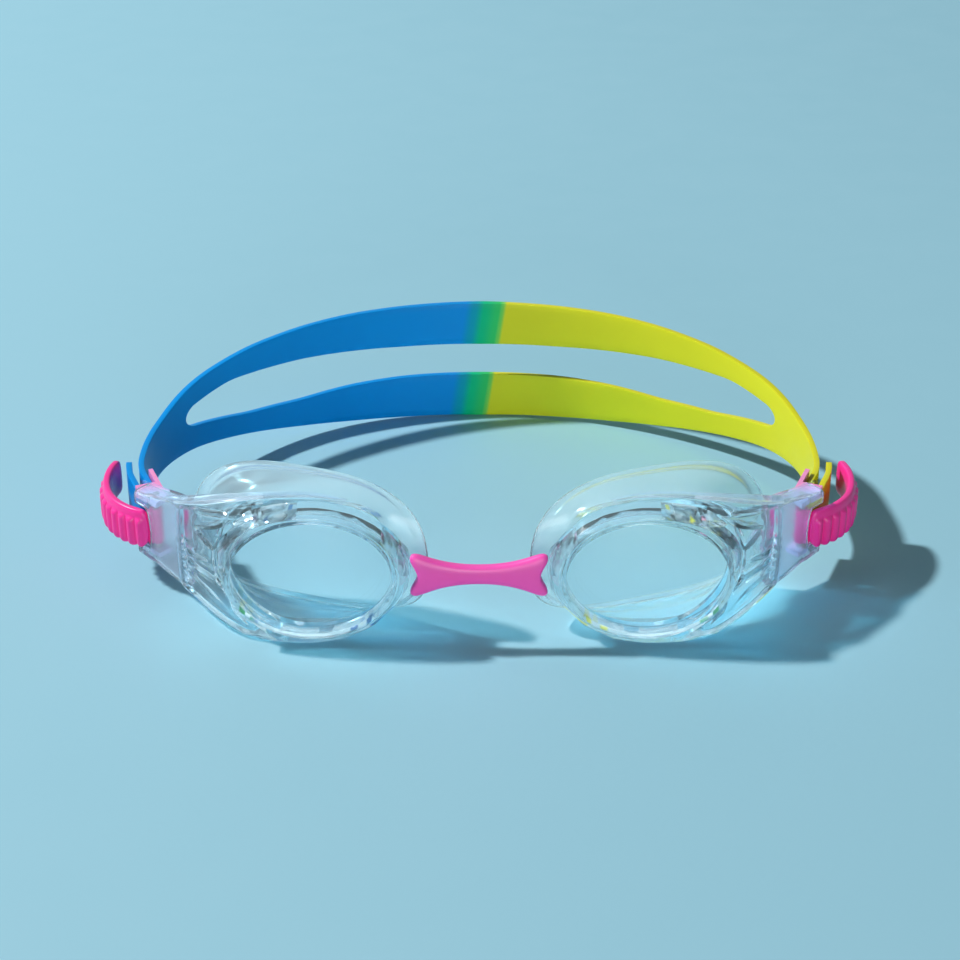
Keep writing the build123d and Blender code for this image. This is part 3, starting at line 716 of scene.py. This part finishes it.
def makeGasket(side, shape):
    # point(a, v): a goes round the oval of the eye and v goes round the section, out along the outer wall
    # from the root in the frame to the rolled rim on the face and back along the inner wall
    a = np.linspace(0.0, 2 * math.pi, shape["rows"], endpoint=False)
    power = 2.0 / shape["rimPower"]
    ovalX = np.sign(np.cos(a)) * np.abs(np.cos(a)) ** power
    ovalZ = np.sign(np.sin(a)) * np.abs(np.sin(a)) ** power
    rimX = shape["centreX"] + shape["rimHalfWidth"] * ovalX
    rimZ = eyeLine + 0.05 + shape["rimHalfHeight"] * ovalZ
    rimY = shape["rimDepth"] + shape["rake"] * (rimX - shape["centreX"]) + shape["rimBulge"] * ovalZ ** 2
    rootX = shape["rootCentreX"] + shape["rootHalfWidth"] * ovalX
    rootZ = eyeLine + shape["rootHalfHeight"] * ovalZ
    rootY = wrapDepth(rootX, frameShape) + shape["rootBehind"]
    rim = np.stack([rimX, rimY, rimZ], axis=1)
    root = np.stack([rootX, rootY, rootZ], axis=1)
    # section: share of the way from root to rim, bulge outwards, and distance inwards through the wall
    v = np.linspace(0.0, 1.0, shape["columns"] // 2)
    bell = v ** 1.7 + shape["ridge"] * np.sin(math.pi * v) ** 2 * np.sin(4.0 * math.pi * v)
    outer = root[:, None, :] + (rim - root)[:, None, :] * np.stack([bell, v, bell], axis=1)[None]
    inward = np.stack([-np.cos(a), np.zeros_like(a), -np.sin(a)], axis=1)[:, None, :]
    back = np.array([0.0, 1.0, 0.0])
    bead = shape["bead"] * smoothStep((v - 0.80) / 0.12)
    thickness = (shape["wall"] - (shape["wall"] - shape["lip"]) * v + bead)[None, :, None]
    inner = outer + inward * thickness * (1.0 - 0.5 * v)[None, :, None]
    inner = inner + back * thickness * (0.6 * v)[None, :, None]
    tipPush = (rim - root) / np.linalg.norm(rim - root, axis=1)[:, None]
    tip = (outer[:, -1] + inner[:, -1]) / 2 + tipPush * shape["lip"] * 0.35
    points = np.concatenate([outer, tip[:, None, :], inner[:, ::-1]], axis=1)
    if side == "left":
        points = mirrored(points)
    piece = surfacePiece(side + "_face_gasket", [points], gasketSilicone, closeRows=True, closeColumns=True)
    standsFor(piece, [side + "_gasket"], "goggles")
    return piece


for side in ("left", "right"):
    makeGasket(side, gasketShape)
print("gaskets made")


wingShape = {
    "start": (54.80, 9.00), "turn": 45.0,  # where the straight temple starts, and its angle from the x axis
    "from": 8.8, "lipAt": 22.4, "innerLipAt": 28.6, "innerBend": 2.3,
    "topFront": 24.4, "topRear": 22.6, "bottomFront": 5.2, "bottomRear": 7.2,
    "back": 5.6, "wall": 1.1,
    "windowFrom": 17.9, "windowLow": 9.6, "windowHigh": 19.6,
    "rows": 110, "columns": 97,
}


def makeWing(side, shape):
    # point(v, a): v runs back along the temple and a goes round a rounded box section, starting and
    # ending at the window in its outer face, which is shut where v is short of the window; the inner
    # face runs on past the others as a lip that leans in behind the strap
    turn = math.radians(shape["turn"])
    along = np.array([math.cos(turn), math.sin(turn)])
    out = np.array([math.sin(turn), -math.cos(turn)])
    a = np.linspace(0.0, 2 * math.pi, shape["columns"])[None, :]
    roundX = np.sign(np.cos(a)) * np.abs(np.cos(a)) ** 0.34
    roundZ = np.sign(np.sin(a)) * np.abs(np.sin(a)) ** 0.34
    inner = smoothStep((-roundX - 0.2) / 0.75) * smoothStep((0.98 - np.abs(roundZ)) / 0.4)
    v = np.linspace(0.0, 1.0, shape["rows"])[:, None]
    reach = shape["lipAt"] + (shape["innerLipAt"] - shape["lipAt"]) * inner
    windowV = (shape["windowFrom"] - shape["from"]) / (shape["lipAt"] - shape["from"])
    s = shape["from"] + (reach - shape["from"]) * v
    share = (s - shape["from"]) / (shape["lipAt"] - shape["from"])
    high = shape["topFront"] + (shape["topRear"] - shape["topFront"]) * smoothStep(share)
    low = shape["bottomFront"] + (shape["bottomRear"] - shape["bottomFront"]) * smoothStep(share)
    opening = np.clip((v - windowV) / 0.10, 0.0, 1.0)
    opened = np.sqrt(np.clip(1.0 - (1.0 - opening) ** 2, 0.0, 1.0))
    middle = (shape["windowLow"] + shape["windowHigh"]) / 2
    gap = (shape["windowHigh"] - shape["windowLow"]) / 2 * opened
    top = middle + gap + (high - middle - gap) * np.abs(roundZ)
    bottom = middle - gap - (middle - gap - low) * np.abs(roundZ)
    outerFace = np.clip(roundX, 0.0, 1.0) ** 0.5
    plain = (high + low) / 2 + (high - low) / 2 * roundZ
    edged = np.where(a <= math.pi, top, bottom)
    z = plain + (edged - plain) * outerFace
    across = -shape["back"] / 2 + shape["back"] / 2 * roundX
    across = across - shape["innerBend"] * inner * np.clip((s - shape["lipAt"]) / 6.2, 0.0, 1.0) ** 1.5
    x = shape["start"][0] + along[0] * s + out[0] * across
    y = shape["start"][1] + along[1] * s + out[1] * across
    points = np.stack(np.broadcast_arrays(x, y, z), axis=2)
    if side == "left":
        points = mirrored(points)
    piece = surfacePiece(side + "_wing_sleeve", [points], wingRubber, mergeBelow=2e-5)
    wall = piece.modifiers.new("wall", "SOLIDIFY")
    wall.thickness = shape["wall"] * 0.001
    wall.offset = -1.0
    standsFor(piece, [side + "_temple_wing"], "goggles")
    return piece


for side in ("left", "right"):
    makeWing(side, wingShape)
print("wings made")


browStrip = {
    # middle line from the wing over the brow: x, depth behind the front, height
    "line": [(63.5, 18.6, 24.2), (60.5, 16.8, 24.9), (57.0, 14.6, 26.2), (52.5, 12.2, 27.9),
             (47.0, 10.4, 29.4), (40.0, 9.4, 30.5), (32.0, 9.0, 30.8), (25.0, 8.8, 29.2)],
    "wide": 2.2, "thick": 0.55, "rows": 120, "columns": 28,
}


def makeBrowStrip(side, shape):
    # point(u, a): u runs along a smoothed line and a goes round a flat oval that narrows to both ends
    knots = np.array(shape["line"])
    at = np.linspace(0.0, 1.0, len(knots))
    u = np.linspace(0.0, 1.0, shape["rows"])
    line = np.stack([smoothThrough(u, at, knots[:, k], 0.05) for k in range(3)], axis=1)
    size = (1.0 - np.abs(2.0 * u - 1.0) ** 6)[:, None] ** 0.5
    fade = (1.0 - 0.65 * smoothStep((u - 0.3) / 0.7))[:, None]
    a = np.linspace(0.0, 2 * math.pi, shape["columns"], endpoint=False)[None, :]
    y = line[:, 1:2] + shape["wide"] * size * fade * np.cos(a)
    z = line[:, 2:3] + shape["thick"] * size * np.sin(a) - 0.12 * shape["wide"] * size * fade * np.cos(a)
    atTemple = smoothStep((line[:, 0:1] - 44.0) / 14.0)
    x = line[:, 0:1] + 0.55 * shape["wide"] * size * fade * np.cos(a) * atTemple
    points = np.stack(np.broadcast_arrays(x, y, z), axis=2)
    if side == "left":
        points = mirrored(points)
    piece = surfacePiece(side + "_brow_strip", [points], wingRubber, closeColumns=True)
    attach(piece, "goggles")
    return piece


for side in ("left", "right"):
    makeBrowStrip(side, browStrip)
print("brow strips made")


finishes = {
    "lens": lensClear, "lens_ring": frameClear,
    "buckle_body": insertPlastic, "lever_pin": pinSteel, "strap_bar": pinSteel,
}
for side in ("left", "right"):
    for part, material in finishes.items():
        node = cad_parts[side + "_" + part]
        node.data.materials.clear()
        node.data.materials.append(material)
        node.data.shade_smooth()
        node.data.set_sharp_from_angle(angle=math.radians(35.0))
print("finishes given")


studio = {
    "floorColour": linear(156, 204, 220), "floorDeep": linear(150, 199, 216),
    "keyPlace": (-1.50, 0.25, 1.62), "keySize": 0.14, "keyPower": 53.0,
    "fillPlace": (0.0, -1.20, 0.15), "fillSize": 0.6, "fillPower": 7.6,
    "topPlace": (-0.15, 0.50, 1.0), "topSize": 0.4, "topPower": 0.3,
    "skyColour": (0.62, 0.90, 1.0, 1.0), "skyStrength": 0.05, "skyInGlass": 0.85,
    "lens": 85.0, "cameraPlace": (0.0002, -0.4256, 0.2561), "cameraTilt": 60.0,
}


def makeFloor(shape):
    # a flat sheet with its middle under the goggles
    x, y = np.meshgrid(np.linspace(-3000, 3000, 3), np.linspace(-2950, 3050, 3), indexing="ij")
    floorFinish = solidMaterial("paleFloor", {
        "tint": shape["floorColour"], "tintDeep": shape["floorDeep"], "cloud": 2.0,
        "glow": 0.0, "glowDepth": 0.001,
        "skin": {"scale": 400.0, "smooth": 0.5, "dull": 0.6, "bump": 0.01},
    })
    floor = surfacePiece("floor", [np.stack([x, y, np.zeros_like(x) - 0.02], axis=2)], floorFinish)
    if floor.data.polygons[0].normal.z < 0:
        floor.data.flip_normals()


def addLamp(name, place, size, power):
    lamp = bpy.data.lights.new(name, "AREA")
    lamp.shape = "DISK"
    lamp.size = size
    lamp.energy = power
    holder = bpy.data.objects.new(name, lamp)
    bpy.context.scene.collection.objects.link(holder)
    holder.location = place
    aim = -holder.location
    holder.rotation_euler = aim.to_track_quat("-Z", "Y").to_euler()


def setStudio(shape):
    makeFloor(shape)
    addLamp("keyLamp", shape["keyPlace"], shape["keySize"], shape["keyPower"])
    addLamp("fillLamp", shape["fillPlace"], shape["fillSize"], shape["fillPower"])
    addLamp("topLamp", shape["topPlace"], shape["topSize"], shape["topPower"])
    sky = bpy.data.worlds.new("studioSky")
    sky.use_nodes = True
    air = sky.node_tree.nodes["Background"]
    air.inputs["Color"].default_value = shape["skyColour"]
    path = sky.node_tree.nodes.new("ShaderNodeLightPath")
    choose = sky.node_tree.nodes.new("ShaderNodeMapRange")  # bright walls to reflect, little stray light
    choose.inputs["To Min"].default_value = shape["skyInGlass"]
    choose.inputs["To Max"].default_value = shape["skyStrength"]
    sky.node_tree.links.new(path.outputs["Diffuse Depth"], choose.inputs["Value"])
    sky.node_tree.links.new(choose.outputs["Result"], air.inputs["Strength"])
    bpy.context.scene.world = sky
    sky.cycles.sampling_method = "NONE"  # found by bounced rays only, so the choice above holds
    camera = bpy.data.objects.new("camera", bpy.data.cameras.new("camera"))
    camera.data.lens = shape["lens"]
    camera.data.sensor_width = 36.0
    camera.data.clip_start = 0.01
    camera.location = shape["cameraPlace"]
    camera.rotation_euler = (math.radians(shape["cameraTilt"]), 0.0, 0.0)
    bpy.context.scene.collection.objects.link(camera)
    bpy.context.scene.camera = camera


setStudio(studio)
print("studio set")
